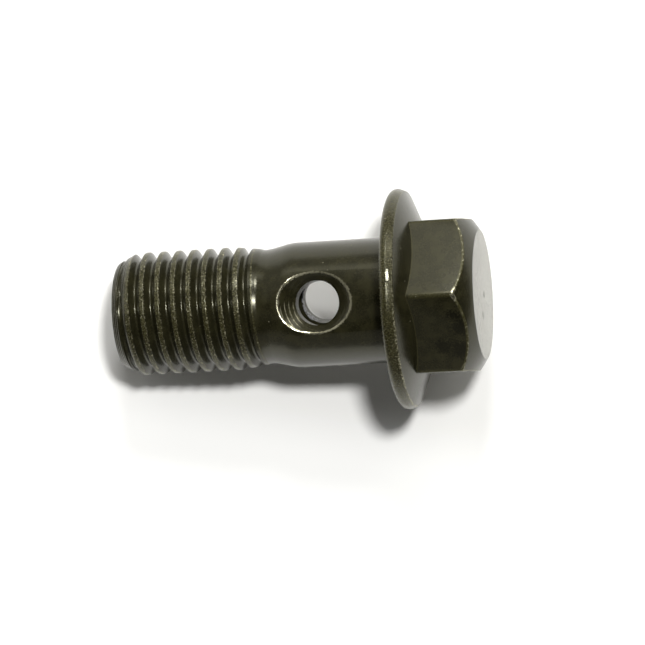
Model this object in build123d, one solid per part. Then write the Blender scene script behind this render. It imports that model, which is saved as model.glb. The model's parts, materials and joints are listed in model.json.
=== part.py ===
from build123d import *
from math import radians, sqrt, tan
import os

# Banjo bolt, M10 x 1.25: a hollow screw with a flanged hexagon head. It clamps the eye of
# a banjo fitting under its flange, and lets fluid pass from the eye through two cross
# ports to the bore that opens at its tip. One piece of steel, forged, rolled and drilled.
#
# Frame, in mm: the origin is the centre of the flange's bearing face, and +Z runs along
# the shank to the tip, so the head is below. The front port opens towards -Y, and two
# corners of the hexagon lie on the Y axis. The bolt stands on the flat of its head.

# ---- Head -------------------------------------------------------------------------
ACROSS_FLATS = 11.85
HEAD_HEIGHT = 6.75  # bearing face to the flat of the head
HEX_EDGE_RADIUS = 0.25  # forged roundness of the six upright edges
HEAD_FLAT_DIA = 10.1
CROWN_BALL_RADIUS = 9.7

# ---- Flange -----------------------------------------------------------------------
FLANGE_DIA = 17.3
RIM_THICKNESS = 1.1
BEARING_FACE_DIA = 16.7  # the rim bulges out from this edge
FLANGE_SLOPE = 22.5  # rise of the flange's back towards the hexagon, degrees
UNDER_HEAD_CHAMFER = 0.3

# ---- Shank and neck ------------------------------------------------------------------
SHANK_DIA = 9.85
SHANK_LENGTH = 8.15
SHOULDER_LENGTH = 1.85  # taper from the shank down to the neck
SHOULDER_BLEND = 3.0
NECK_DIA = 8.95
NECK_LENGTH = 0.75
NECK_BLEND = 2.0

# ---- Thread, M10 x 1.25, shown by the plain envelope of its crests ---------------------
LIP_DIA = 9.24  # metal that the rolling dies raise beside the last groove
LIP_LENGTH = 0.45
LIP_BLEND = 0.8
CREST_DIA = 9.72  # rolled crests stop a little under the nominal diameter
RUN_OUT_LENGTH = 1.7  # lip to the first crest of full height
LENGTH = 22.15  # bearing face to the tip
TIP_DIA = 8.3
TIP_CHAMFER_LENGTH = 1.5

# ---- Bore and ports ------------------------------------------------------------------
BORE_DIA = 4.8
BORE_PAST_PORTS = 0.4  # how far the full bore runs on below the front port
DRILL_POINT_ANGLE = 118.0
BORE_MOUTH_CHAMFER = 0.3
PORT_DIA = 3.5
COUNTERSINK_DIA = 5.9
COUNTERSINK_ANGLE = 90.0
FRONT_PORT_HEIGHT = 5.75
FRONT_PORT_TURN = -90.0  # degrees from +X, so the front port faces -Y
BACK_PORT_RAISE = 0.6  # the back port is drilled from its own side, a little off line
BACK_PORT_TURN = 81.3

# ---- Working allowance -----------------------------------------------------------------
OVERCUT = 0.5  # how far a cutter runs past the surface that it cuts


def turned(loop):
    """Solid of revolution about Z, from a closed loop of (radius, height) points."""
    return revolve(make_face(Plane.XZ * loop), axis=Axis.Z)


def turned_body():
    """Flange, shank, waisted neck and thread in one turned profile."""
    neck_start = SHANK_LENGTH + SHOULDER_LENGTH
    neck_end = neck_start + NECK_LENGTH
    lip = neck_end + LIP_LENGTH
    corners = [
        # radius, height, blend
        (0, LENGTH, 0),
        (TIP_DIA / 2, LENGTH, 0),
        (CREST_DIA / 2, LENGTH - TIP_CHAMFER_LENGTH, 0),
        (CREST_DIA / 2, lip + RUN_OUT_LENGTH, 0),
        (LIP_DIA / 2, lip, LIP_BLEND),
        (NECK_DIA / 2, neck_end, NECK_BLEND),
        (NECK_DIA / 2, neck_start, NECK_BLEND),
        (SHANK_DIA / 2, SHANK_LENGTH, SHOULDER_BLEND),
        (SHANK_DIA / 2, UNDER_HEAD_CHAMFER, 0),
        (SHANK_DIA / 2 + UNDER_HEAD_CHAMFER, 0, 0),
        (BEARING_FACE_DIA / 2, 0, 0),
    ]
    points = [(radius, height) for radius, height, _ in corners]
    blends = [blend for _, _, blend in corners[1:-1]]
    side = FilletPolyline(*points, radius=blends)
    back_edge = (BEARING_FACE_DIA / 2, -RIM_THICKNESS)
    rim = ThreePointArc(points[-1], (FLANGE_DIA / 2, -RIM_THICKNESS / 2), back_edge)
    back_centre = (0, -RIM_THICKNESS - BEARING_FACE_DIA / 2 * tan(radians(FLANGE_SLOPE)))
    back = Polyline(back_edge, back_centre, points[0])
    return turned(side + rim + back)


def hexagon_head():
    """Hexagon from inside the flange down to the flat of the head, its end crowned by a ball."""
    outline = RegularPolygon(ACROSS_FLATS / 2, 6, major_radius=False, rotation=30)
    outline = fillet(outline.vertices(), HEX_EDGE_RADIUS)
    ball_height = sqrt(CROWN_BALL_RADIUS**2 - (HEAD_FLAT_DIA / 2) ** 2) - HEAD_HEIGHT
    return extrude(outline, -HEAD_HEIGHT) & Pos(0, 0, ball_height) * Sphere(CROWN_BALL_RADIUS)


def bore():
    """Blind bore from the tip to just below the front port, with a drill point and a chamfered mouth."""
    radius = BORE_DIA / 2
    bottom = FRONT_PORT_HEIGHT - PORT_DIA / 2 - BORE_PAST_PORTS
    point = bottom - radius / tan(radians(DRILL_POINT_ANGLE / 2))
    mouth = radius + BORE_MOUTH_CHAMFER
    loop = Polyline(
        (0, point),
        (radius, bottom),
        (radius, LENGTH - BORE_MOUTH_CHAMFER),
        (mouth + OVERCUT, LENGTH + OVERCUT),
        (0, LENGTH + OVERCUT),
        close=True,
    )
    return turned(loop)


def port(height, turn):
    """Countersunk port, drilled from the shank's side to the axis, at a height and a turn from +X."""
    radius = PORT_DIA / 2
    surface = SHANK_DIA / 2
    flare = tan(radians(COUNTERSINK_ANGLE / 2))
    seat = surface - (COUNTERSINK_DIA - PORT_DIA) / 2 / flare
    outside = surface + OVERCUT
    loop = Polyline(
        (0, 0),
        (radius, 0),
        (radius, seat),
        (radius + (outside - seat) * flare, outside),
        (0, outside),
        close=True,
    )
    return Pos(0, 0, height) * Rot(0, 0, turn) * Rot(0, 90, 0) * turned(loop)


def banjo_bolt():
    front_port = port(FRONT_PORT_HEIGHT, FRONT_PORT_TURN)
    back_port = port(FRONT_PORT_HEIGHT + BACK_PORT_RAISE, BACK_PORT_TURN)
    bolt = turned_body() + hexagon_head() - bore() - front_port - back_port
    bolt.label = "banjo_bolt"
    return bolt


os.makedirs("parts", exist_ok=True)
export_step(banjo_bolt(), "parts/banjo_bolt.step")
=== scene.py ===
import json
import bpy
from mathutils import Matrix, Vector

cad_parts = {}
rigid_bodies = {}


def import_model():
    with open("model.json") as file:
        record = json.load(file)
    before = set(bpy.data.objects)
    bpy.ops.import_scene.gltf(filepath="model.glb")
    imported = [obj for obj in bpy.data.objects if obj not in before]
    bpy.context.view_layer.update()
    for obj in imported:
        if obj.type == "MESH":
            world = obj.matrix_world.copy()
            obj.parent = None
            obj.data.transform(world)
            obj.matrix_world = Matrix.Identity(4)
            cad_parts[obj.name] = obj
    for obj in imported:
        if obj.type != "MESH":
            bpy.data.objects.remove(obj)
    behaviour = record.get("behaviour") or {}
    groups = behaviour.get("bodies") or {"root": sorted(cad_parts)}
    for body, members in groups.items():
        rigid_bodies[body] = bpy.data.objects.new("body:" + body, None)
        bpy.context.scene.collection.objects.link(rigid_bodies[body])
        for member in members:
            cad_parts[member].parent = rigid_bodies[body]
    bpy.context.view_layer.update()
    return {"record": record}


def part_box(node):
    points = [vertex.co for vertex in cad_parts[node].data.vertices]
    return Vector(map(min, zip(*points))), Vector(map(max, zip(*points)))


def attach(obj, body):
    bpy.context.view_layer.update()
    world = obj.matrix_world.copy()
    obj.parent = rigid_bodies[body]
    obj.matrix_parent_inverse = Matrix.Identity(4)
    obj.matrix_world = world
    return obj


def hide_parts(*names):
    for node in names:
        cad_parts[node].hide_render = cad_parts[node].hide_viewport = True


bl_info = {
    "name": "Banjo Bolt",
    "version": (1, 0, 0),
    "blender": (4, 5, 0),
    "location": "3D View > Sidebar > Banjo Bolt",
    "description": "Hollow flanged hexagon bolt with a rolled thread, a waist and two cross ports",
    "category": "Add Mesh",
}

from math import asin, atan2, cos, degrees, pi, radians, sin, sqrt, tan
from types import SimpleNamespace

import bmesh
import bpy
import numpy as np
from mathutils import Matrix, Vector

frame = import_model()

MM = 0.001
NODE = "banjo_bolt"
LOW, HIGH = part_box(NODE)
MOUNTS = {mount["name"]: mount for mount in frame["record"]["mounts"]}
PORTS = ("front_port", "back_port")

# ---- Shape, in mm ------------------------------------------------------------------------
# Heights run along Z from the flange's bearing face, up to the tip and down to the head.

STEPS = 176  # divisions of every turned surface
PORT_STEPS = 120  # divisions of the drilled ports
MERGE = 1e-4  # points closer than this are one

RIM_THICKNESS = 1.1
BEARING_FACE_DIA = 16.7
FLANGE_SLOPE = 22.5  # degrees
BACK_EDGE = 0.1  # how far out from the bearing face's edge the flange's back begins
RIM_PROFILE = (
    # in from the widest part, height, cut back at the corner, segments
    (0.06, -0.18, 0.12, 3),
    (0.0, -0.42, 0.06, 2),
    (0.004, -0.58, 0.03, 2),
    (0.085, -0.79, 0.03, 2),
    (0.145, -0.93, 0.03, 2),
)

HEX_TOP = -0.5  # the hexagon ends here, inside the flange
HEX_EDGE_CUT = 0.15  # rounding of the hexagon's upright edges
CROWN_EDGE_CUT = 0.06  # wear on the edge between the hexagon and its crown
HEAD_FLAT_DIA = 10.1
CROWN_BALL_RADIUS = 9.7

SHANK_LENGTH = 8.15
UNDER_HEAD_CHAMFER = 0.3
SHOULDER_SLOPE = 0.23  # fall of the shank's radius past SHANK_LENGTH
NECK_RADIUS = 4.5
NECK_START = 10.0
NECK_JOIN = 10.4  # height where the plain neck meets the threaded length
JOIN_GAP = 0.04  # left between two turned surfaces, and bridged when they are joined

BORE_BOTTOM = 3.6
BORE_MOUTH_CHAMFER = 0.3
DRILL_POINT_ANGLE = 118.0  # degrees
COUNTERSINK_DIA = 6.0
COUNTERSINK_SHIFT = 0.12  # how far the countersinks sit off the ports, towards the tip
MOUTH_EASING = 0.13  # width of the rounding that wear has put on the mouths

ENVELOPE = [
    # height, radius: what the thread is rolled on and cut back to
    (NECK_JOIN, NECK_RADIUS),
    (10.46, 4.503),
    (10.52, 4.521),
    (10.65, 4.559),
    (10.78, 4.597),
    (10.9, 4.62),
    (11.1, 4.64),
    (11.35, 4.665),
    (12.9, 4.86),
    (20.65, 4.86),
    (21.98, 4.23),
    (22.15, 4.12),
]
GROOVE_AT_X = 11.725  # height of the lowest whole groove where it crosses +X
FADE_FROM, FADE_TO = -200.0, -290.0  # the groove runs out here, degrees along it from +X

# ---- Wear, in mm -------------------------------------------------------------------------

RELIEF_STEP = 0.00001  # m: depth of a relief of 1 in the steel's masks
RIDGE_SPACING = 0.16  # turned ridges on the tip's chamfer
RING_SPACING = 0.115  # rings left by the drill in a countersink
NICK = (1.25, 2.15, -0.80, -0.58)  # on the rim: from and to along X, and in height
GOUGES = (
    # in the head's flat: x, y, half length, slant
    (0.0, 0.45, 0.26, -0.3),
    (-1.62, -0.63, 0.28, -0.3),
)
STAINS = (
    # centre, reach
    ((-4.3, -4.4, -5.5), 1.0),
    ((-2.6, -5.4, -5.7), 0.9),
    ((-4.0, -4.6, -4.2), 0.8),
    ((-1.6, -5.9, -5.2), 0.6),
)

# ---- Camera and stage --------------------------------------------------------------------

CAMERA_PLACE = (-7.930, -295.492, -51.685)  # mm
CAMERA_TURN = (-163.9014, 78.4729, 105.1624)  # degrees
CAMERA_LENS = 213.39
FLOOR_WIDTH = 260  # mm
FLOOR_LEAN = 10.13  # degrees: the bolt lies on the flange's rim and its last full crest
FLOOR_GLOW = 0.01  # added to the floor where it is seen, so that it is white
FAR_PAINTED_LIGHT = 0.15  # painted light: the floor glows brighter past the bolt's shadow, on its -X side, and washes out a faint long shadow that the lights cast there
FAR_FROM, FAR_TO = 8.5, 14.0  # mm towards -X over which the glow rises
FAR_SLANT = 0.2  # how much sooner it rises for each mm towards the tip
GLOW_TINT = (0.96, 0.98, 1.0)
WALL_TINT = (1.0, 0.985, 0.93)  # the walls are a little warmer than the lamps
SOFT_EDGE = 3  # degrees from a softbox's edge to where it is full, or dark

# White walls and softboxes round the bolt, in degrees as seen from it: up from -Y towards +X,
# and to the side, where plus is the tip's. The front stays dark.
SOFTBOXES = (
    # up from, up to, side from, side to, level
    (50, 90, -25, 25, 0.36),
    (59, 71, -25, 25, 1.46),
    (38, 50, -25, 25, 0.45),
    (20, 38, -25, 25, 0.14),
    (50, 90, -50, -25, 1.2),
    (50, 70, -50, -25, 3.6),
    (10, 110, 25, 50, 0.30),
    (25, 70, 25, 50, 0.15),
    (0, 120, 50, 75, 1.5),
    (-110, -57, -25, 50, 0.33),
    (-70, -50, -50, -25, 0.45),
    (-30, -8, -25, 50, 0.10),
)
LAMPS = (
    # name, up, side, distance in m, size in m, power in W
    ("key lamp", 11.5, -18, 0.5, 0.06, 1.98),
    ("high lamp", 48, -12, 0.5, 0.10, 1.0),
)


class BOLT_PG_sizes(bpy.types.PropertyGroup):
    """Sizes of the bolt."""

    length: bpy.props.FloatProperty(
        name="Length under head",
        description="Bearing face to the tip",
        default=HIGH.z,
        unit="LENGTH",
        precision=5,
    )
    head_height: bpy.props.FloatProperty(
        name="Head height",
        description="Bearing face to the flat of the head",
        default=-LOW.z,
        unit="LENGTH",
        precision=5,
    )
    flange_dia: bpy.props.FloatProperty(
        name="Flange diameter",
        description="Widest part of the flange's rim",
        default=2 * HIGH.x,
        unit="LENGTH",
        precision=5,
    )
    across_flats: bpy.props.FloatProperty(
        name="Across flats",
        description="Hexagon across flats",
        default=11.85 * MM,
        unit="LENGTH",
        precision=5,
    )
    shank_dia: bpy.props.FloatProperty(
        name="Shank diameter",
        description="Plain shank",
        default=9.85 * MM,
        unit="LENGTH",
        precision=5,
    )
    crest_dia: bpy.props.FloatProperty(
        name="Crest diameter",
        description="Rolled crests of the thread",
        default=2 * MOUNTS["thread"]["dims"]["r_mm"] * MM,
        unit="LENGTH",
        precision=5,
    )
    root_dia: bpy.props.FloatProperty(
        name="Root diameter",
        description="Bottom of the thread's groove",
        default=8.47 * MM,
        unit="LENGTH",
        precision=5,
    )
    pitch: bpy.props.FloatProperty(
        name="Pitch",
        description="Distance between crests",
        default=1.25 * MM,
        unit="LENGTH",
        precision=5,
    )
    bore_dia: bpy.props.FloatProperty(
        name="Bore diameter",
        description="Axial bore",
        default=2 * MOUNTS["bore"]["dims"]["r_mm"] * MM,
        unit="LENGTH",
        precision=5,
    )
    port_dia: bpy.props.FloatProperty(
        name="Port diameter",
        description="Straight part of a cross port",
        default=2 * MOUNTS["front_port"]["dims"]["r_mm"] * MM,
        unit="LENGTH",
        precision=5,
    )


class BOLT_PG_finish(bpy.types.PropertyGroup):
    """Colours of the bolt and its stage."""

    coating: bpy.props.FloatVectorProperty(
        name="Coating",
        description="Black oxide over the steel",
        subtype="COLOR",
        default=(0.016, 0.0148, 0.0066),
    )
    worn: bpy.props.FloatVectorProperty(
        name="Worn edges",
        description="Steel where the coating is rubbed off",
        subtype="COLOR",
        default=(0.58, 0.55, 0.39),
    )
    rubbed: bpy.props.FloatVectorProperty(
        name="Rubbed coating",
        description="Coating worn thin on the rim and crests",
        subtype="COLOR",
        default=(0.052, 0.048, 0.019),
    )
    sheen: bpy.props.FloatVectorProperty(
        name="Sheen",
        description="Tint of the coating's reflections",
        subtype="COLOR",
        default=(1.0, 0.98, 0.76),
    )
    flat: bpy.props.FloatVectorProperty(
        name="Head flat",
        description="Satin flat of the head",
        subtype="COLOR",
        default=(0.25, 0.25, 0.275),
    )
    floor: bpy.props.FloatVectorProperty(
        name="Floor",
        description="White floor",
        subtype="COLOR",
        default=(0.965, 0.96, 0.935),
    )


SIZE_NAMES = tuple(BOLT_PG_sizes.__annotations__)


def millimetres(context):
    """The sizes in millimetres, which all the modelling below works in."""
    sizes = context.scene.bolt_sizes
    return SimpleNamespace(**{name: getattr(sizes, name) / MM for name in SIZE_NAMES})


# ---- Modelling helpers ------------------------------------------------------------------


def select_only(obj):
    bpy.ops.object.select_all(action="DESELECT")
    obj.select_set(True)
    bpy.context.view_layer.objects.active = obj


def outline(name, points):
    """An open outline in the XZ plane, drawn by extruding one vertex from point to point."""
    bpy.context.tool_settings.mesh_select_mode = (True, False, False)
    bpy.ops.object.select_all(action="DESELECT")
    bpy.ops.mesh.primitive_plane_add(size=1, location=(0, 0, 0))
    obj = bpy.context.object
    obj.name = obj.data.name = name
    bpy.ops.object.mode_set(mode="EDIT")
    bpy.ops.mesh.merge(type="CENTER")
    places = [Vector((radius, 0, height)) for radius, height in points]
    bpy.ops.transform.translate(value=places[0])
    for here, there in zip(places, places[1:]):
        bpy.ops.mesh.extrude_vertices_move(TRANSFORM_OT_translate={"value": there - here})
    bpy.ops.object.mode_set(mode="OBJECT")
    return obj


def round_corners(obj, blends):
    """Rounds an outline's corners. blends maps (radius, height) to (cut back, segments)."""
    for (radius, height), (cut_back, segments) in blends.items():
        for vertex in obj.data.vertices:
            vertex.select = (vertex.co - Vector((radius, 0, height))).length < 1e-3
        bpy.ops.object.mode_set(mode="EDIT")
        bpy.ops.mesh.select_mode(type="VERT")
        bpy.ops.mesh.bevel(
            offset=cut_back, segments=segments, affect="VERTICES", clamp_overlap=False
        )
        bpy.ops.object.mode_set(mode="OBJECT")
        for edge in obj.data.edges:
            edge.select = False
        for vertex in obj.data.vertices:
            vertex.select = False


def select_edges(obj, wanted):
    """Selects in edge mode the edges of an object's mesh for which wanted(edge) is true."""
    bm = bmesh.new()
    bm.from_mesh(obj.data)
    picked = [bool(wanted(edge)) for edge in bm.edges]
    bm.free()
    mesh = obj.data
    mesh.vertices.foreach_set("select", [False] * len(mesh.vertices))
    mesh.polygons.foreach_set("select", [False] * len(mesh.polygons))
    mesh.edges.foreach_set("select", picked)
    bpy.context.tool_settings.mesh_select_mode = (False, True, False)
    if not any(picked):
        raise RuntimeError(f"no such edges in {obj.name}")


def select_rims(obj, low, high):
    """Selects the open rims of a mesh between two heights."""
    select_edges(
        obj, lambda edge: edge.is_boundary and all(low < v.co.z < high for v in edge.verts)
    )


def spin(obj, steps=STEPS, inside=False):
    """Turns the outline a full turn about Z, its faces outward, or towards the axis if inside."""
    select_only(obj)
    bpy.ops.object.mode_set(mode="EDIT")
    bpy.ops.mesh.select_all(action="SELECT")
    bpy.ops.mesh.spin(steps=steps, angle=2 * pi, center=(0, 0, 0), axis=(0, 0, 1))
    bpy.ops.mesh.select_all(action="SELECT")
    bpy.ops.mesh.remove_doubles(threshold=MERGE)
    bpy.ops.mesh.normals_make_consistent(inside=inside)
    bpy.ops.object.mode_set(mode="OBJECT")
    return obj


def boolean(obj, other, operation):
    """Joins, cuts or keeps the overlap of two closed solids."""
    select_only(obj)
    modifier = obj.modifiers.new("cut", "BOOLEAN")
    modifier.operation = operation
    modifier.object = other
    modifier.solver = "EXACT"
    bpy.ops.object.modifier_apply(modifier=modifier.name)
    bpy.data.objects.remove(other)


def turn_faces_outward(obj):
    select_only(obj)
    bpy.ops.object.mode_set(mode="EDIT")
    bpy.ops.mesh.select_all(action="SELECT")
    bpy.ops.mesh.normals_make_consistent(inside=False)
    bpy.ops.object.mode_set(mode="OBJECT")


def seat_depth(sizes):
    """Distance from the bolt's axis to where a port's countersink begins."""
    return sizes.shank_dia / 2 - (COUNTERSINK_DIA - sizes.port_dia) / 2


def crown_centre(sizes):
    """Centre of the ball that crowns the head."""
    above_flat = sqrt(CROWN_BALL_RADIUS**2 - (HEAD_FLAT_DIA / 2) ** 2)
    return Vector((0, 0, above_flat - sizes.head_height))


# ---- Pieces -------------------------------------------------------------------------------


class BOLT_OT_body(bpy.types.Operator):
    """Adds the flange, shank and neck as one turned surface, open where the thread begins"""

    bl_idname = "bolt.body"
    bl_label = "Flange and shank"

    def execute(self, context):
        sizes = millimetres(context)
        shank = sizes.shank_dia / 2
        rim = sizes.flange_dia / 2
        edge = BEARING_FACE_DIA / 2
        slope = tan(radians(FLANGE_SLOPE))
        back_edge = (edge + BACK_EDGE, -RIM_THICKNESS + BACK_EDGE * slope)
        back_centre = (0, -RIM_THICKNESS - edge * slope)
        blends = {(NECK_RADIUS, NECK_START): (0.3, 5), (shank, SHANK_LENGTH): (0.4, 5)}
        blends[edge, 0] = (0.07, 3)
        points = [
            (NECK_RADIUS, NECK_JOIN - JOIN_GAP),
            (NECK_RADIUS, NECK_START),
            (shank, SHANK_LENGTH),
            (shank, UNDER_HEAD_CHAMFER),
            (shank + UNDER_HEAD_CHAMFER, 0),
            (edge, 0),
        ]
        for inset, height, cut_back, segments in RIM_PROFILE:
            points.append((rim - inset, height))
            blends[rim - inset, height] = (cut_back, segments)
        points += [back_edge, back_centre]
        blends[back_edge] = (0.04, 2)
        body = outline("bolt_body", points)
        round_corners(body, blends)
        spin(body)
        return {"FINISHED"}


def thread_outline(sizes):
    """One pitch of the rolled thread, crest to crest, as (radius, height from the groove)."""
    crest, root, pitch = sizes.crest_dia / 2, sizes.root_dia / 2, sizes.pitch
    half = [
        (root, 0.0),
        (root + 0.006, 0.05),
        (root + 0.03, 0.095),
        (root + 0.075, 0.135),
        (root + 0.30, 0.265),
        (crest - 0.16, 0.372),
        (crest - 0.085, 0.416),
        (crest - 0.037, 0.452),
        (crest - 0.01, 0.495),
        (crest, 0.54),
        (crest - 0.006, 0.585),
        (crest - 0.014, pitch / 2),
    ]
    lower = [(radius, -height) for radius, height in reversed(half[1:])]
    return lower + half


class BOLT_OT_thread(bpy.types.Operator):
    """Adds the rolled right-hand thread, its run-out beside the neck and its chamfered tip"""

    bl_idname = "bolt.thread"
    bl_label = "Rolled thread"

    def execute(self, context):
        sizes = millimetres(context)
        pitch = sizes.pitch
        start = GROOVE_AT_X - 2 * pitch
        turns = int((sizes.length - start) / pitch) + 2
        points = [(radius, height + start) for radius, height in thread_outline(sizes)]
        thread = outline("bolt_thread", points)
        select_only(thread)
        screw = thread.modifiers.new("helix", "SCREW")
        screw.axis = "Z"
        screw.angle = 2 * pi
        screw.screw_offset = pitch
        screw.iterations = turns
        screw.steps = screw.render_steps = STEPS
        screw.use_smooth_shade = True
        bpy.ops.object.modifier_apply(modifier=screw.name)
        self.roll(thread, sizes)
        bpy.ops.object.mode_set(mode="EDIT")
        bpy.ops.mesh.select_all(action="SELECT")
        bpy.ops.mesh.remove_doubles(threshold=MERGE)
        for height, side in ((NECK_JOIN, -1), (sizes.length - JOIN_GAP, 1)):
            bpy.ops.mesh.select_all(action="SELECT")
            bpy.ops.mesh.bisect(plane_co=(0, 0, height), plane_no=(0, 0, side), clear_outer=True)
        bpy.ops.object.mode_set(mode="OBJECT")
        turn_faces_outward(thread)
        return {"FINISHED"}

    def roll(self, thread, sizes):
        """Fades the groove out beside the neck and keeps every crest inside the turned envelope."""
        heights, radii = zip(*ENVELOPE)
        for vertex in thread.data.vertices:
            x, y, z = vertex.co
            radius = sqrt(x * x + y * y)
            turn = atan2(y, x)
            lap = round((z - GROOVE_AT_X) / sizes.pitch - turn / (2 * pi))
            along = degrees(turn) + 360 * lap
            fade = min(1, max(0, (along - FADE_FROM) / (FADE_TO - FADE_FROM)))
            fade = fade * fade * (3 - 2 * fade)  # eased at both ends
            limit = float(np.interp(z, heights, radii))
            rolled = min(radius + fade * (limit - radius), limit)
            vertex.co.x, vertex.co.y = x * rolled / radius, y * rolled / radius


class BOLT_OT_bore(bpy.types.Operator):
    """Adds the end face of the tip and the axial bore with its drill point"""

    bl_idname = "bolt.bore"
    bl_label = "Tip and bore"

    def execute(self, context):
        sizes = millimetres(context)
        radius = sizes.bore_dia / 2
        mouth = (radius + BORE_MOUTH_CHAMFER, sizes.length)
        points = [
            (ENVELOPE[-1][1] - JOIN_GAP, sizes.length),
            mouth,
            (radius, sizes.length - BORE_MOUTH_CHAMFER),
            (radius, BORE_BOTTOM),
            (0, BORE_BOTTOM - radius / tan(radians(DRILL_POINT_ANGLE / 2))),
        ]
        bore = outline("bolt_bore", points)
        round_corners(bore, {mouth: (0.06, 2)})
        spin(bore, inside=True)
        return {"FINISHED"}


class BOLT_OT_join(bpy.types.Operator):
    """Joins the turned surfaces and the thread into one closed solid"""

    bl_idname = "bolt.join"
    bl_label = "Join turned parts"

    def execute(self, context):
        sizes = millimetres(context)
        parts = [bpy.data.objects[n] for n in ("bolt_body", "bolt_thread", "bolt_bore")]
        bpy.ops.object.select_all(action="DESELECT")
        for part in parts:
            part.select_set(True)
        context.view_layer.objects.active = parts[0]
        bpy.ops.object.join()
        bolt = context.object
        bolt.name = bolt.data.name = "bolt"
        for height in (NECK_JOIN, sizes.length):
            select_rims(bolt, height - JOIN_GAP - 0.01, height + 0.01)
            bpy.ops.object.mode_set(mode="EDIT")
            bpy.ops.mesh.bridge_edge_loops()
            bpy.ops.object.mode_set(mode="OBJECT")
        turn_faces_outward(bolt)
        return {"FINISHED"}


class BOLT_OT_head(bpy.types.Operator):
    """Adds the crowned hexagon and joins it to the flange"""

    bl_idname = "bolt.head"
    bl_label = "Crowned hexagon"

    def execute(self, context):
        sizes = millimetres(context)
        half = sizes.across_flats / 2
        corner = half / cos(radians(30))
        bpy.ops.object.select_all(action="DESELECT")
        bpy.ops.mesh.primitive_cylinder_add(
            vertices=6,
            radius=corner,
            depth=sizes.head_height + HEX_TOP,
            location=(0, 0, (HEX_TOP - sizes.head_height) / 2),
            end_fill_type="NGON",
        )
        head = context.object
        head.name = "bolt_head"
        bpy.ops.object.transform_apply(location=True, rotation=True, scale=True)
        select_edges(head, lambda edge: abs(edge.verts[0].co.z - edge.verts[1].co.z) > 1)
        bpy.ops.object.mode_set(mode="EDIT")
        bpy.ops.mesh.bevel(offset=HEX_EDGE_CUT, segments=4, affect="EDGES")
        bpy.ops.object.mode_set(mode="OBJECT")
        boolean(head, self.crown(sizes), "INTERSECT")
        centre = crown_centre(sizes)

        def on_crown(vertex):
            return abs((vertex.co - centre).length - CROWN_BALL_RADIUS) < 0.02

        def worn(edge):
            if len(edge.link_faces) != 2 or edge.calc_face_angle(0) < radians(14):
                return False
            return all(on_crown(vertex) for vertex in edge.verts)

        select_only(head)
        select_edges(head, worn)
        bpy.ops.object.mode_set(mode="EDIT")
        bpy.ops.mesh.bevel(offset=CROWN_EDGE_CUT, segments=3, affect="EDGES", clamp_overlap=True)
        bpy.ops.object.mode_set(mode="OBJECT")
        boolean(bpy.data.objects["bolt"], head, "UNION")
        return {"FINISHED"}

    def crown(self, sizes):
        """Ball that crowns the head, cut off at the head's flat."""
        ball, centre = CROWN_BALL_RADIUS, crown_centre(sizes)
        steps = 24
        first = asin(HEAD_FLAT_DIA / 2 / ball)
        last = radians(100)  # just past the widest part, well above the hexagon
        arc = [first + (last - first) * i / steps for i in range(steps + 1)]
        points = [(0, -sizes.head_height)]
        points += [(ball * sin(a), centre.z - ball * cos(a)) for a in arc]
        points += [(0, 3.0)]
        return spin(outline("bolt_crown", points))


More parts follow.
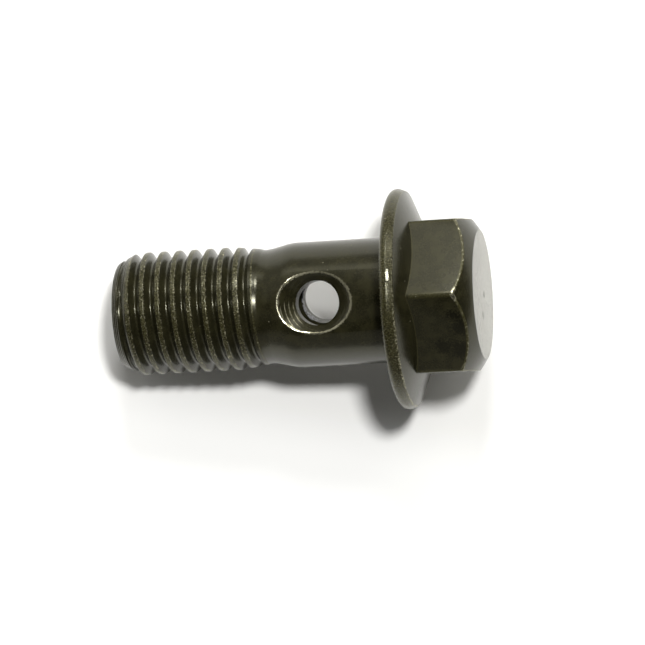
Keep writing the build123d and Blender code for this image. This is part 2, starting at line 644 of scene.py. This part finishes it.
class BOLT_OT_ports(bpy.types.Operator):
    """Drills the two countersunk cross ports into the bore"""

    bl_idname = "bolt.ports"
    bl_label = "Cross ports"

    def execute(self, context):
        sizes = millimetres(context)
        bolt = bpy.data.objects["bolt"]
        for cutter in (self.drill, self.easing):
            for name in PORTS:
                boolean(bolt, cutter(sizes, MOUNTS[name]), "DIFFERENCE")
        select_only(bolt)
        bpy.ops.object.mode_set(mode="EDIT")
        bpy.ops.mesh.select_all(action="SELECT")
        bpy.ops.mesh.remove_doubles(threshold=0.003)  # slivers left where the cuts cross
        bpy.ops.object.mode_set(mode="OBJECT")
        return {"FINISHED"}

    def drill(self, sizes, mount):
        """Drill for the straight port, with its countersink a little off line."""
        radius, seat = sizes.port_dia / 2, seat_depth(sizes)
        reach = sizes.shank_dia / 2 + 0.6  # runs out past the shank
        straight = [(0, 0), (radius, 0), (radius, reach), (0, reach)]
        flared = [(0, seat - radius), (radius + reach - seat, reach), (0, reach)]
        drill = spin(outline("drill", straight), steps=PORT_STEPS)
        flare = spin(outline("flare", flared), steps=PORT_STEPS)
        turn = Vector(mount["axis"]).to_track_quat("Z", "Y")
        shift = turn.inverted() @ Vector((0, 0, COUNTERSINK_SHIFT))
        flare.data.transform(Matrix.Translation(shift))
        boolean(drill, flare, "UNION")
        drill.data.transform(turn.to_matrix().to_4x4())
        drill.data.transform(Matrix.Translation((0, 0, mount["pos_m"][2] / MM)))
        return drill

    def easing(self, sizes, mount):
        """Ring that rounds a port's mouth, along the curve where its countersink ends."""
        radius, shank, seat = sizes.port_dia / 2, sizes.shank_dia / 2, seat_depth(sizes)
        axis, upward = Vector(mount["axis"]), Vector((0, 0, 1))
        aside = upward.cross(axis)
        centre = upward * (mount["pos_m"][2] / MM + COUNTERSINK_SHIFT)

        def surface(height):
            return shank - max(0, height - SHANK_LENGTH) * SHOULDER_SLOPE

        def on_skin(turn, grow):
            """Where the skin is, grow outside the mouth: off the port's axis, and along it."""
            deep = shank
            for _ in range(40):
                wide = radius + deep - seat + grow
                deep = sqrt(surface(centre.z + wide * cos(turn)) ** 2 - (wide * sin(turn)) ** 2)
            return wide, deep

        cut = MOUTH_EASING
        steps, start = 128, 0.37  # the start keeps the ring's points off the other edges
        pierce, clear = 0.008, 0.2  # past the surfaces, so that the ring cuts through them
        points = []
        for i in range(steps):
            turn = 2 * pi * (i + start) / steps
            outward = upward * cos(turn) + aside * sin(turn)

            def place(wide, deep):
                return centre + outward * wide + axis * deep

            wide, deep = on_skin(turn, 0)
            corner = place(wide, deep)
            skin = place(*on_skin(turn, cut))
            skin_clear = Vector((skin.x, skin.y, 0)).normalized()
            cone_clear = (axis - outward) * 0.7
            skin += skin_clear * pierce
            cone = place(wide - cut * 0.7, deep - cut * 0.7) + cone_clear * pierce
            control = corner.lerp((skin + cone) / 2, 0.2)
            for j in range(5):
                t = j / 4
                points.append(skin * (1 - t) ** 2 + control * 2 * t * (1 - t) + cone * t * t)
            points.append(cone + cone_clear * clear)
            points.append(skin + skin_clear * clear)
        around = len(points) // steps
        faces = []
        for i in range(steps):
            here, there = i * around, (i + 1) % steps * around
            for j in range(around):
                k = (j + 1) % around
                faces.append((here + j, here + k, there + k, there + j))
        mesh = bpy.data.meshes.new("easing")
        mesh.from_pydata(points, [], faces)
        ring = bpy.data.objects.new("easing", mesh)
        bpy.context.collection.objects.link(ring)
        turn_faces_outward(ring)
        return ring


# ---- Finishes ------------------------------------------------------------------------------


class Nodes:
    """Adds nodes to a tree and links them, in the order in which they are worked out."""

    def __init__(self, tree):
        self.tree = tree

    def add(self, kind, **settings):
        node = self.tree.nodes.new(kind)
        for name, value in settings.items():
            setattr(node, name, value)
        return node

    def put(self, socket, value):
        if isinstance(value, bpy.types.NodeSocket):
            self.tree.links.new(value, socket)
        else:
            socket.default_value = value

    def maths(self, operation, *values):
        node = self.add("ShaderNodeMath", operation=operation)
        for socket, value in zip(node.inputs, values):
            self.put(socket, value)
        return node.outputs[0]

    def plus(self, a, b):
        return self.maths("ADD", a, b)

    def minus(self, a, b):
        return self.maths("SUBTRACT", a, b)

    def over(self, a, b):
        return self.maths("DIVIDE", a, b)

    def times_plus(self, a, b, c):
        """a times b, plus c."""
        return self.maths("MULTIPLY_ADD", a, b, c)

    def size(self, value):
        return self.maths("ABSOLUTE", value)

    def sine(self, value):
        return self.maths("SINE", value)

    def step(self, value, low, high, to_low=0.0, to_high=1.0):
        """Smooth step of a value from low to high."""
        node = self.add("ShaderNodeMapRange", interpolation_type="SMOOTHSTEP")
        self.put(node.inputs["Value"], value)
        self.put(node.inputs["From Min"], low)
        self.put(node.inputs["From Max"], high)
        self.put(node.inputs["To Min"], to_low)
        self.put(node.inputs["To Max"], to_high)
        return node.outputs[0]

    def mix(self, factor, a, b):
        node = self.add("ShaderNodeMix", data_type="RGBA")
        self.put(node.inputs["Factor"], factor)
        self.put(node.inputs["A"], a)
        self.put(node.inputs["B"], b)
        return node.outputs["Result"]

    def noise(self, place, scale, detail, roughness):
        node = self.add("ShaderNodeTexNoise")
        self.put(node.inputs["Vector"], place)
        node.inputs["Scale"].default_value = scale
        node.inputs["Detail"].default_value = detail
        node.inputs["Roughness"].default_value = roughness
        return node.outputs["Fac"]

    def vector(self, operation, place, other=(0, 0, 0)):
        node = self.add("ShaderNodeVectorMath", operation=operation)
        self.put(node.inputs[0], place)
        node.inputs[1].default_value = other
        return node.outputs

    def dot(self, place, direction):
        return self.vector("DOT_PRODUCT", place, direction)["Value"]

    def distance(self, place, point):
        return self.vector("DISTANCE", place, point)["Value"]

    def millimetres(self):
        """Place on the piece, in mm."""
        return self.stretch(self.add("ShaderNodeTexCoord").outputs["Object"], (1 / MM,) * 3)

    def split(self, place):
        node = self.add("ShaderNodeSeparateXYZ")
        self.put(node.inputs[0], place)
        return node.outputs

    def stretch(self, place, scale):
        node = self.add("ShaderNodeMapping")
        self.put(node.inputs["Vector"], place)
        node.inputs["Scale"].default_value = scale
        return node.outputs["Vector"]

    def times(self, *values):
        product = values[0]
        for value in values[1:]:
            product = self.maths("MULTIPLY", product, value)
        return product

    def most(self, *values):
        top = values[0]
        for value in values[1:]:
            top = self.maths("MAXIMUM", top, value)
        return top

    def least(self, *values):
        low = values[0]
        for value in values[1:]:
            low = self.maths("MINIMUM", low, value)
        return low

    def within(self, value, low, high, edge):
        """1 between low and high, falling to 0 over a soft edge outside them."""
        return self.times(self.step(value, low - edge, low), self.step(value, high + edge, high))


def rgba(colour, factor=1.0):
    return (*(channel * factor for channel in colour), 1.0)


class BOLT_OT_steel(bpy.types.Operator):
    """Gives the bolt its blackened steel, rubbed bare along the edges and the crests"""

    bl_idname = "bolt.steel"
    bl_label = "Blackened steel"

    def execute(self, context):
        bolt = bpy.data.objects["bolt"]
        bolt.data.transform(Matrix.Scale(MM, 4))
        bolt.data.update()
        select_only(bolt)
        bpy.ops.object.shade_smooth_by_angle(angle=radians(32))
        bolt.data.materials.clear()
        bolt.data.materials.append(self.steel(millimetres(context), context.scene.bolt_finish))
        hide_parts(NODE)
        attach(bolt, "root")
        return {"FINISHED"}

    def steel(self, sizes, finish):
        """Blackened steel. Masks say where it is worn; colour, gloss and relief follow them."""
        steel = bpy.data.materials.new("blackened steel")
        steel.use_nodes = True
        n = Nodes(steel.node_tree)
        shader = steel.node_tree.nodes["Principled BSDF"]
        place = n.millimetres()
        x, y, z = n.split(place)
        radius = n.maths("SQRT", n.times_plus(x, x, n.times(y, y)))
        turn = n.over(n.maths("ARCTAN2", y, x), 2 * pi)

        fine = n.noise(place, 8.0, 3, 0.6)
        grain = n.noise(place, 22.0, 2, 0.5)
        chips = n.noise(n.stretch(place, (1, 1, 1.15)), 6.5, 3, 0.7)
        patch = n.noise(place, 1.1, 3, 0.55)
        broken = n.times_plus(grain, 0.35, n.times(fine, 0.65))  # about 0.5, at two scales
        turned = n.noise(n.stretch(place, (0.25, 0.25, 9.0)), 1.6, 2, 0.6)

        edges, corners, tips = self.head_edges(n, sizes, place, z, radius, chips, patch)
        crests, ridges, polish = self.thread_wear(n, sizes, z, radius, turn, chips)
        rim, rim_line, spot, nick = self.rim_wear(n, x, y, z, radius)
        mouths, arcs, rings, burr = self.port_wear(n, sizes, place, x, z, radius, chips)
        flat, scratches, gouges = self.flat_wear(n, sizes, place, z)

        bare = n.most(
            edges,
            n.times(crests, n.step(chips, 0.59, 0.67), n.step(patch, 0.3, 0.7, 0.15, 0.9)),
            n.times(polish, n.step(chips, 0.52, 0.66, 0.0, 0.7)),
            n.times(rim_line, n.step(chips, 0.50, 0.60), n.step(patch, 0.35, 0.6, 0.15, 0.8)),
            n.times(rim, n.step(chips, 0.62, 0.70), 0.4),
            mouths,
            self.specks(n, place),
            n.times(arcs, 0.6),
        )
        rubbed = n.most(
            n.times(crests, n.step(broken, 0.42, 0.60, 0.05, 1.0)),
            n.times(rim, n.step(broken, 0.40, 0.62, 0.0, 0.85)),
            n.times(corners, 0.7),
        )

        coating = finish.coating
        colour = n.mix(n.step(patch, 0.35, 0.7), rgba(coating, 0.68), rgba(coating, 1.25))
        colour = n.mix(n.times(n.step(fine, 0.45, 0.75), 0.5), colour, rgba(coating, 1.6))
        colour = n.mix(self.stains(n, place, broken), colour, rgba(coating, 0.2))
        colour = n.mix(rubbed, colour, rgba(finish.rubbed))
        colour = n.mix(flat, colour, rgba(finish.flat))
        colour = n.mix(scratches, colour, rgba(finish.flat, 0.25))
        colour = n.mix(bare, colour, rgba(finish.worn))
        colour = n.mix(burr, colour, rgba(0.2 + channel for channel in finish.flat))
        n.put(shader.inputs["Base Color"], colour)

        metal = n.most(n.times(bare, 0.95), n.times(rubbed, 0.25), n.times(flat, 0.3))
        n.put(shader.inputs["Metallic"], metal)
        gleam = n.most(tips, n.times(spot, 0.3), n.times(mouths, 0.8), n.times(polish, 0.6))
        rough = n.times_plus(n.step(fine, 0.3, 0.7), 0.07, 0.19)
        rough = n.times_plus(rubbed, 0.06, rough)
        rough = n.times_plus(gleam, -0.09, rough)
        n.put(shader.inputs["Roughness"], rough)
        shader.inputs["IOR"].default_value = 1.46
        shader.inputs["Specular Tint"].default_value = rgba(finish.sheen)

        height = n.plus(nick, gouges)
        for mask, share in (
            (fine, 0.30),
            (turned, 0.25),
            (n.times(rim, broken), 1.5),
            (n.times(crests, broken), 0.9),
            (n.times(burr, chips), 6.0),
            (ridges, 1.6),
            (scratches, -4.0),
            (rings, 0.5),
        ):
            height = n.times_plus(mask, share, height)
        bump = n.add("ShaderNodeBump")
        bump.inputs["Strength"].default_value = 1.0
        bump.inputs["Distance"].default_value = RELIEF_STEP
        n.put(bump.inputs["Height"], height)
        n.put(shader.inputs["Normal"], bump.outputs[0])
        return steel

    def head_edges(self, n, sizes, place, z, radius, chips, patch):
        """Chips along the crown's edge, rubbed upright edges, and the polished corners."""
        sides = []
        for angle in (0, 60, 120):
            outward = (cos(radians(angle)), sin(radians(angle)), 0)
            sides.append(n.size(n.dot(place, outward)))
        in_from_side = n.minus(sizes.across_flats / 2, n.most(*sides))
        in_from_ball = n.minus(CROWN_BALL_RADIUS, n.distance(place, crown_centre(sizes)))
        off = n.most(in_from_side, in_from_ball)
        x, y, _ = n.split(place)
        width = n.step(chips, 0.48, 0.70, -0.03, 0.09)
        crown = n.times(n.step(n.minus(off, width), 0.03, -0.02), n.step(chips, 0.53, 0.62))
        crown = n.times(crown, n.step(patch, 0.32, 0.62, 0.3, 1.0))
        crown = n.times(crown, n.step(x, -1.2, 0.6, 0.45, 1.0))  # dimmer on the -X side
        tip = n.times(
            n.step(radius, 6.50, 6.64),
            n.step(off, 0.16, 0.08),
            n.step(chips, 0.42, 0.50),
            n.step(y, -5.4, -6.2, 0.15, 1.0),  # the corner over the front port took most knocks
        )
        upright = n.times(
            n.step(radius, 6.68, 6.77),
            n.within(z, -sizes.head_height, -2.0, 0.1),
            n.step(chips, 0.40, 0.60, 0.2, 0.9),
        )
        slope = tan(radians(FLANGE_SLOPE))
        back = n.times_plus(n.minus(BEARING_FACE_DIA / 2, radius), slope, RIM_THICKNESS)
        foot = n.most(n.size(n.plus(z, back)), n.size(in_from_side))
        corners = n.most(upright, n.step(off, 0.14, 0.06), n.step(foot, 0.12, 0.04, 0.0, 0.35))
        return n.most(crown, tip), corners, tip

    def thread_wear(self, n, sizes, z, radius, turn, chips):
        """Rubbed bands along the crests, fine ridges at the tip, and the polished flanks."""
        laps = n.minus(n.over(n.minus(z, GROOVE_AT_X), sizes.pitch), turn)
        from_groove = n.minus(n.maths("FRACT", n.plus(laps, 0.5)), 0.5)  # in pitches
        phase = n.size(from_groove)
        ragged = n.times_plus(n.minus(chips, 0.5), 0.12, phase)
        crest = n.times(
            n.step(ragged, 0.345, 0.375), n.step(z, 11.5, 11.7), n.step(z, 21.2, 20.8)
        )
        lip = n.times(n.step(phase, 0.44, 0.46), n.within(z, 10.5, 11.3, 0.1))
        band = n.times(n.most(crest, lip), n.within(radius, 4.0, 4.9, 0.05))
        polish = n.times(
            n.within(from_groove, 0.335, 0.385, 0.015),
            n.within(z, 11.3, 21.0, 0.2),
            n.step(radius, 4.5, 4.6),
        )
        ridges = n.times(n.sine(n.times(z, 2 * pi / RIDGE_SPACING)), n.step(z, 20.9, 21.2))
        return band, ridges, polish

    def rim_wear(self, n, x, y, z, radius):
        """The rim's rough band, its back edge's line, and a smooth nick over the front port."""
        band = n.times(n.step(radius, 8.30, 8.42), n.within(z, -RIM_THICKNESS - 0.05, 0.0, 0.05))
        line = n.times(band, n.step(z, -0.93, -1.02), n.step(x, 3.5, 0.5, 0.2, 1.0))
        left, right, low, high = NICK
        spot = n.times(
            n.within(x, left, right, 0.12),
            n.step(y, -7.5, -8.0),
            n.within(z, low, high, 0.05),
        )
        rise = n.times(n.minus(z, (low + high) / 2), -12.5)
        tilt = n.times_plus(n.minus(x, (left + right) / 2), 10.5, rise)
        return n.times(band, n.minus(1.0, spot)), line, spot, n.times(spot, tilt)

    def port_wear(self, n, sizes, place, x, z, radius, chips):
        """Bare mouths, arcs and rings left by the drill, and the back port's torn wall."""
        mouths, arcs, relief = 0.0, 0.0, 0.0
        shank, seat = sizes.shank_dia / 2, seat_depth(sizes)
        taper = n.times_plus(n.minus(z, SHANK_LENGTH), -SHOULDER_SLOPE, shank)
        skin = n.minus(n.least(shank, taper), radius)
        for name in PORTS:
            axis = Vector(MOUNTS[name]["axis"])
            centre = Vector((0, 0, MOUNTS[name]["pos_m"][2] / MM))
            from_centre = n.vector("SUBTRACT", place, centre)["Vector"]
            length = n.vector("LENGTH", from_centre)["Value"]
            deep = n.dot(from_centre, axis)  # along the port, from the bolt's axis
            across = n.maths("SQRT", n.minus(n.times(length, length), n.times(deep, deep)))
            shift = n.minus(z, centre.z)
            near = n.step(deep, 2.4, 2.6)

            upward = n.over(shift, n.most(across, 0.1))
            spread = n.times_plus(upward, -COUNTERSINK_SHIFT, across)
            cone = n.minus(n.minus(spread, sizes.port_dia / 2), n.minus(deep, seat))
            off = n.most(n.size(cone), n.size(skin))
            width = n.step(chips, 0.40, 0.64, 0.0, 0.10)
            mouth = n.times(n.step(n.minus(off, width), 0.09, 0.03), near)
            mouth = n.times(mouth, n.step(chips, 0.36, 0.5, 0.45, 1.0))
            towards_tip = n.times_plus(x, -0.5, shift)  # bare steel strong towards the tip and on the -X side, thinned elsewhere: partly wear, partly painted light, brighter where the lamp's glint falls and darker on the far side, which is in shade
            mouths = n.most(mouths, n.times(mouth, n.step(towards_tip, -1.6, 1.2, 0.2, 1.0)))

            inside = n.times(
                near, n.step(across, 3.3, 3.1), n.step(skin, 0.08, 0.16), n.step(across, 1.5, 1.6)
            )
            rings = n.minus(across, n.times(deep, 0.6))
            rings = n.sine(n.times(rings, 2 * pi / RING_SPACING))
            relief = n.most(relief, n.times(rings, inside))
            worst = centre + Vector((-0.9, 0, 2.0)) + axis * 4.2
            chatter = n.step(n.distance(place, worst), 1.25, 0.7)
            bright = n.times(n.step(rings, 0.75, 0.98), n.step(chips, 0.40, 0.52))
            arcs = n.most(arcs, n.times(bright, inside, chatter))
        # the loop ends on the back port, whose wall is torn where it breaks into the bore
        torn = n.times(
            n.step(deep, 1.8, 2.0),
            n.step(deep, 3.3, 2.9),
            n.step(across, 1.85, 1.80),
            n.step(across, 1.5, 1.6),
            n.step(shift, 0.2, 0.8),
        )
        return mouths, arcs, relief, n.times(torn, n.step(chips, 0.44, 0.52))

    def flat_wear(self, n, sizes, place, z):
        """The head's flat, rubbed to a satin grey, with fine scratches and small gouges."""
        flat = n.step(z, -sizes.head_height + 0.02, -sizes.head_height + 0.005)
        streak = n.noise(n.stretch(place, (0.8, 9.0, 1.0)), 2.4, 1, 0.4)
        marks = n.times(n.step(streak, 0.62, 0.70), 0.35)
        relief = 0.0
        x, y, _ = n.split(place)
        for gouge_x, gouge_y, half_length, slant in GOUGES:
            along, aside = n.minus(x, gouge_x), n.minus(y, gouge_y)
            across = n.size(n.times_plus(along, slant, aside))
            ends = n.step(n.size(along), half_length, half_length - 0.1)
            gouge = n.times(n.step(across, 0.30, 0.14), ends)
            marks = n.most(marks, gouge)
            relief = n.times_plus(n.times(gouge, flat), n.times(aside, 60), relief)
        return flat, n.times(flat, marks), relief

    def stains(self, n, place, broken):
        """Darker stains in the coating, on the hexagon's side by the front port's corner."""
        stains = 0.0
        uneven = n.times(n.minus(broken, 0.5), 3.0)
        for spot, reach in STAINS:
            edge = n.plus(uneven, n.distance(place, spot))
            stains = n.most(stains, n.step(edge, reach, reach * 0.5))
        return n.times(stains, 0.85)

    def specks(self, n, place):
        """Small chips in the coating, a few to each face."""
        cells = n.add("ShaderNodeTexVoronoi")
        n.put(cells.inputs["Vector"], place)
        cells.inputs["Scale"].default_value = 1.6
        chosen = n.step(n.split(cells.outputs["Color"])[0], 0.88, 0.90)
        return n.times(n.step(cells.outputs["Distance"], 0.10, 0.04), chosen, 0.35)


class BOLT_OT_stage(bpy.types.Operator):
    """Adds the white floor that the bolt lies on, the lights and the camera"""

    bl_idname = "bolt.stage"
    bl_label = "Stage"

    def execute(self, context):
        self.floor(context)
        self.world(context)
        self.lamps(context)
        self.camera(context)
        return {"FINISHED"}

    def floor(self, context):
        sizes = millimetres(context)
        bpy.ops.object.select_all(action="DESELECT")
        bpy.ops.mesh.primitive_grid_add(
            x_subdivisions=4, y_subdivisions=4, size=FLOOR_WIDTH * MM
        )
        floor = context.object
        floor.name = "floor"
        touch = Vector((0, sizes.flange_dia / 2, -RIM_THICKNESS / 2)) * MM
        lean = Matrix.Rotation(radians(90 + FLOOR_LEAN), 4, "X")
        floor.data.transform(Matrix.Translation(touch) @ lean)
        white = bpy.data.materials.new("white floor")
        white.use_nodes = True
        tree = white.node_tree
        tree.nodes.clear()
        n = Nodes(tree)
        diffuse = n.add("ShaderNodeBsdfDiffuse")
        diffuse.inputs["Color"].default_value = rgba(context.scene.bolt_finish.floor)
        x, _, z = n.split(n.millimetres())
        # painted light: the floor's glow rises past the bolt's shadow and washes out the faint long
        # shadow that the lights cast there
        past_shadow = n.times_plus(z, FAR_SLANT, n.times(x, -1.0))
        level = n.step(past_shadow, FAR_FROM, FAR_TO, FLOOR_GLOW, FAR_PAINTED_LIGHT)
        glow = n.add("ShaderNodeEmission")
        glow.inputs["Color"].default_value = rgba(GLOW_TINT)
        n.put(glow.inputs["Strength"], n.times(self.seen(n), level))
        lit = n.add("ShaderNodeAddShader")
        n.put(lit.inputs[0], diffuse.outputs[0])
        n.put(lit.inputs[1], glow.outputs[0])
        clear = n.add("ShaderNodeBsdfTransparent")
        geometry = n.add("ShaderNodeNewGeometry")
        mix = n.add("ShaderNodeMixShader")
        n.put(mix.inputs[0], geometry.outputs["Backfacing"])
        n.put(mix.inputs[1], lit.outputs[0])
        n.put(mix.inputs[2], clear.outputs[0])
        out = n.add("ShaderNodeOutputMaterial")
        n.put(out.inputs["Surface"], mix.outputs[0])
        floor.data.materials.append(white)

    def seen(self, n):
        """1 where the camera sees a place straight, mirrored or through glass, else 0."""
        light = n.add("ShaderNodeLightPath")
        rays = ("Is Camera Ray", "Is Glossy Ray", "Is Transmission Ray")
        return n.most(*(light.outputs[ray] for ray in rays))

    def world(self, context):
        """White where it is looked at, and walls and softboxes where it lights or is mirrored."""
        world = bpy.data.worlds.new("studio")
        context.scene.world = world
        world.use_nodes = True
        tree = world.node_tree
        tree.nodes.clear()
        n = Nodes(tree)
        x, y, z = n.split(n.add("ShaderNodeTexCoord").outputs["Generated"])
        up = n.maths("ARCTAN2", x, n.times(y, -1.0))
        side = n.maths("ARCSINE", z)
        total = 0.0
        for low_up, high_up, low_side, high_side, level in SOFTBOXES:
            box = n.times(
                self.ramp(n, up, low_up, 1),
                self.ramp(n, up, high_up, -1),
                self.ramp(n, side, low_side, 1),
                self.ramp(n, side, high_side, -1),
            )
            total = n.times_plus(box, level, total)
        tinted = n.add("ShaderNodeCombineColor")
        for socket, tint in zip(tinted.inputs, WALL_TINT):
            n.put(socket, n.times(total, tint))
        walls = n.add("ShaderNodeBackground")
        n.put(walls.inputs["Color"], tinted.outputs[0])
        white = n.add("ShaderNodeBackground")
        white.inputs["Color"].default_value = (1, 1, 1, 1)
        mix = n.add("ShaderNodeMixShader")
        n.put(mix.inputs[0], n.add("ShaderNodeLightPath").outputs["Is Camera Ray"])
        n.put(mix.inputs[1], walls.outputs[0])
        n.put(mix.inputs[2], white.outputs[0])
        out = n.add("ShaderNodeOutputWorld")
        n.put(out.inputs["Surface"], mix.outputs[0])

    def ramp(self, n, angle, edge, way):
        """Soft edge of a softbox: rises past the edge if way is 1, falls past it if -1."""
        return n.step(angle, radians(edge - SOFT_EDGE * way), radians(edge + SOFT_EDGE * way))

    def lamps(self, context):
        for name, up, side, distance, size, power in LAMPS:
            rise, turn = radians(up), radians(side)
            direction = Vector((sin(rise), -cos(rise) * cos(turn), cos(rise) * sin(turn)))
            bpy.ops.object.light_add(type="AREA", location=direction * distance)
            light = context.object
            light.name = name
            light.data.shape = "DISK"
            light.data.size = size
            light.data.energy = power
            light.rotation_euler = direction.to_track_quat("Z", "Y").to_euler()

    def camera(self, context):
        bpy.ops.object.camera_add(
            location=[place * MM for place in CAMERA_PLACE],
            rotation=[radians(angle) for angle in CAMERA_TURN],
        )
        camera = context.object
        camera.data.lens = CAMERA_LENS
        camera.data.sensor_width = 36
        camera.data.clip_start = 0.01
        context.scene.camera = camera
        context.scene.view_settings.view_transform = "Standard"


class BOLT_PT_panel(bpy.types.Panel):
    """Lists the bolt's pieces, sizes and colours"""

    bl_idname = "BOLT_PT_panel"
    bl_label = "Banjo Bolt"
    bl_space_type = "VIEW_3D"
    bl_region_type = "UI"
    bl_category = "Banjo Bolt"

    def draw(self, context):
        column = self.layout.column()
        for step in STEPS_IN_ORDER:
            column.operator(f"bolt.{step}")
        for group in (context.scene.bolt_sizes, context.scene.bolt_finish):
            box = self.layout.box()
            for name in group.bl_rna.properties.keys():
                if name not in ("rna_type", "name"):
                    box.prop(group, name)


STEPS_IN_ORDER = ("body", "thread", "bore", "join", "head", "ports", "steel", "stage")
CLASSES = (
    BOLT_PG_sizes,
    BOLT_PG_finish,
    BOLT_OT_body,
    BOLT_OT_thread,
    BOLT_OT_bore,
    BOLT_OT_join,
    BOLT_OT_head,
    BOLT_OT_ports,
    BOLT_OT_steel,
    BOLT_OT_stage,
    BOLT_PT_panel,
)


def register():
    for cls in CLASSES:
        bpy.utils.register_class(cls)
    bpy.types.Scene.bolt_sizes = bpy.props.PointerProperty(type=BOLT_PG_sizes)
    bpy.types.Scene.bolt_finish = bpy.props.PointerProperty(type=BOLT_PG_finish)


def unregister():
    del bpy.types.Scene.bolt_finish
    del bpy.types.Scene.bolt_sizes
    for cls in reversed(CLASSES):
        bpy.utils.unregister_class(cls)


def main():
    """Makes the bolt and its stage."""
    register()
    for step in STEPS_IN_ORDER:
        getattr(bpy.ops.bolt, step)()


if __name__ == "__main__":
    main()
